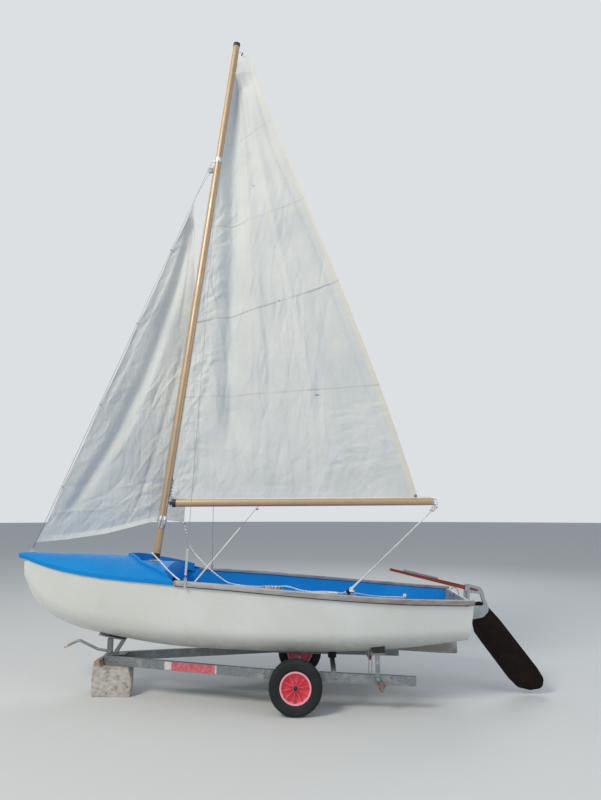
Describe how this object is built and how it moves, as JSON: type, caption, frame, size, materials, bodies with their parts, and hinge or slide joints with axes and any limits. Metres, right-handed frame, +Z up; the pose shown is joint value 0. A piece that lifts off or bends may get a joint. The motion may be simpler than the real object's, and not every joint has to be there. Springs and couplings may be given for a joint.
{
  "type": "sailing dinghy",
  "caption": "Open sailing dinghy on a launching trailer: round-bilged hull with a hollow cockpit, stayed mast, swinging boom, two sails, and a hung rudder with a lifting blade.",
  "frame": {"origin": "centre of the footprint of the whole boat on its trailer, on the ground", "axes": "-X to the bow, +X to the stern, -Y to port, +Y to starboard, +Z up"},
  "size_m": [4.5496, 1.336, 6.3377],
  "materials": {
    "gelcoat_white": "glossy laminate",
    "gelcoat_blue": "glossy laminate",
    "laminate_grey": "matt laminate",
    "rail_grey": "matt",
    "spar_tan": "gold-anodised look",
    "black_plastic": "matt",
    "fitting_steel": "brushed",
    "wire_steel": "drawn wire",
    "sailcloth": "woven sailcloth",
    "head_aluminium": "satin",
    "blade_wood": "dark varnish",
    "tiller_wood": "red-brown varnish",
    "tyre_rubber": "matt",
    "rim_red": "glossy paint",
    "galvanised": "galvanised",
    "pad_rubber": "matt",
    "concrete": "painted rough concrete"
  },
  "bodies": {
    "boat": {"apex_plate": "galvanised", "axle": "galvanised", "block": "concrete", "bow_fitting": "fitting_steel", "bow_pad": "pad_rubber", "bow_support": "galvanised", "bulkhead": "gelcoat_blue", "centreboard_case": "gelcoat_blue", "chainplate_port": "fitting_steel", "chainplate_stbd": "fitting_steel", "cockpit_liner": "gelcoat_blue", "foredeck": "gelcoat_blue", "forestay": "wire_steel", "gooseneck": "fitting_steel", "gudgeon_lower": "fitting_steel", "gudgeon_upper": "fitting_steel", "hounds": "fitting_steel", "hull_shell": "gelcoat_white", "jib": "sailcloth", "keel_beam": "galvanised", "keel_rest": "pad_rubber", "mast": "spar_tan", "mast_cap": "black_plastic", "mast_collar": "fitting_steel", "mast_foot": "black_plastic", "mast_post": "spar_tan", "mast_step": "fitting_steel", "rail_port": "galvanised", "rail_stbd": "galvanised", "rub_rail_port": "rail_grey", "rub_rail_stbd": "rail_grey", "sheet_block": "black_plastic", "shroud_port": "wire_steel", "shroud_stbd": "wire_steel", "side_pad_port": "pad_rubber", "side_pad_stbd": "pad_rubber", "side_support_port": "galvanised", "side_support_stbd": "galvanised", "skeg": "gelcoat_white", "tow_handle": "galvanised", "transom": "gelcoat_white", "transom_board": "laminate_grey"},
    "boom": {"boom": "spar_tan", "boom_cap": "black_plastic", "boom_end": "fitting_steel", "boom_bail": "fitting_steel", "mainsail": "sailcloth"},
    "rudder": {"rudder_head": "head_aluminium", "tiller": "tiller_wood", "tiller_extension": "head_aluminium"},
    "blade": {"rudder_blade": "blade_wood"},
    "wheel_port": {"tyre_port": "tyre_rubber", "rim_port": "rim_red"},
    "wheel_stbd": {"tyre_stbd": "tyre_rubber", "rim_stbd": "rim_red"}
  },
  "joints": [
    {"name": "boom_swing", "type": "hinge", "parent": "boat", "child": "boom", "pos_m": [-0.93814, 0, 1.57881], "axis": [0.116, 0, 0.9933], "range_deg": [-55, 55]},
    {"name": "rudder_turn", "type": "hinge", "parent": "boat", "child": "rudder", "pos_m": [1.64051, 0, 0.7], "axis": [0.1219, 0, 0.9925], "range_deg": [-50, 50]},
    {"name": "blade_lift", "type": "hinge", "parent": "rudder", "child": "blade", "pos_m": [1.77386, 0, 0.66], "axis": [0, -1, 0], "range_deg": [-4, 60]},
    {"name": "wheel_port_spin", "type": "hinge", "parent": "boat", "child": "wheel_port", "pos_m": [0.21286, -0.59, 0.203], "axis": [0, 1, 0], "continuous": true},
    {"name": "wheel_stbd_spin", "type": "hinge", "parent": "boat", "child": "wheel_stbd", "pos_m": [0.21286, 0.59, 0.203], "axis": [0, 1, 0], "continuous": true}
  ]
}
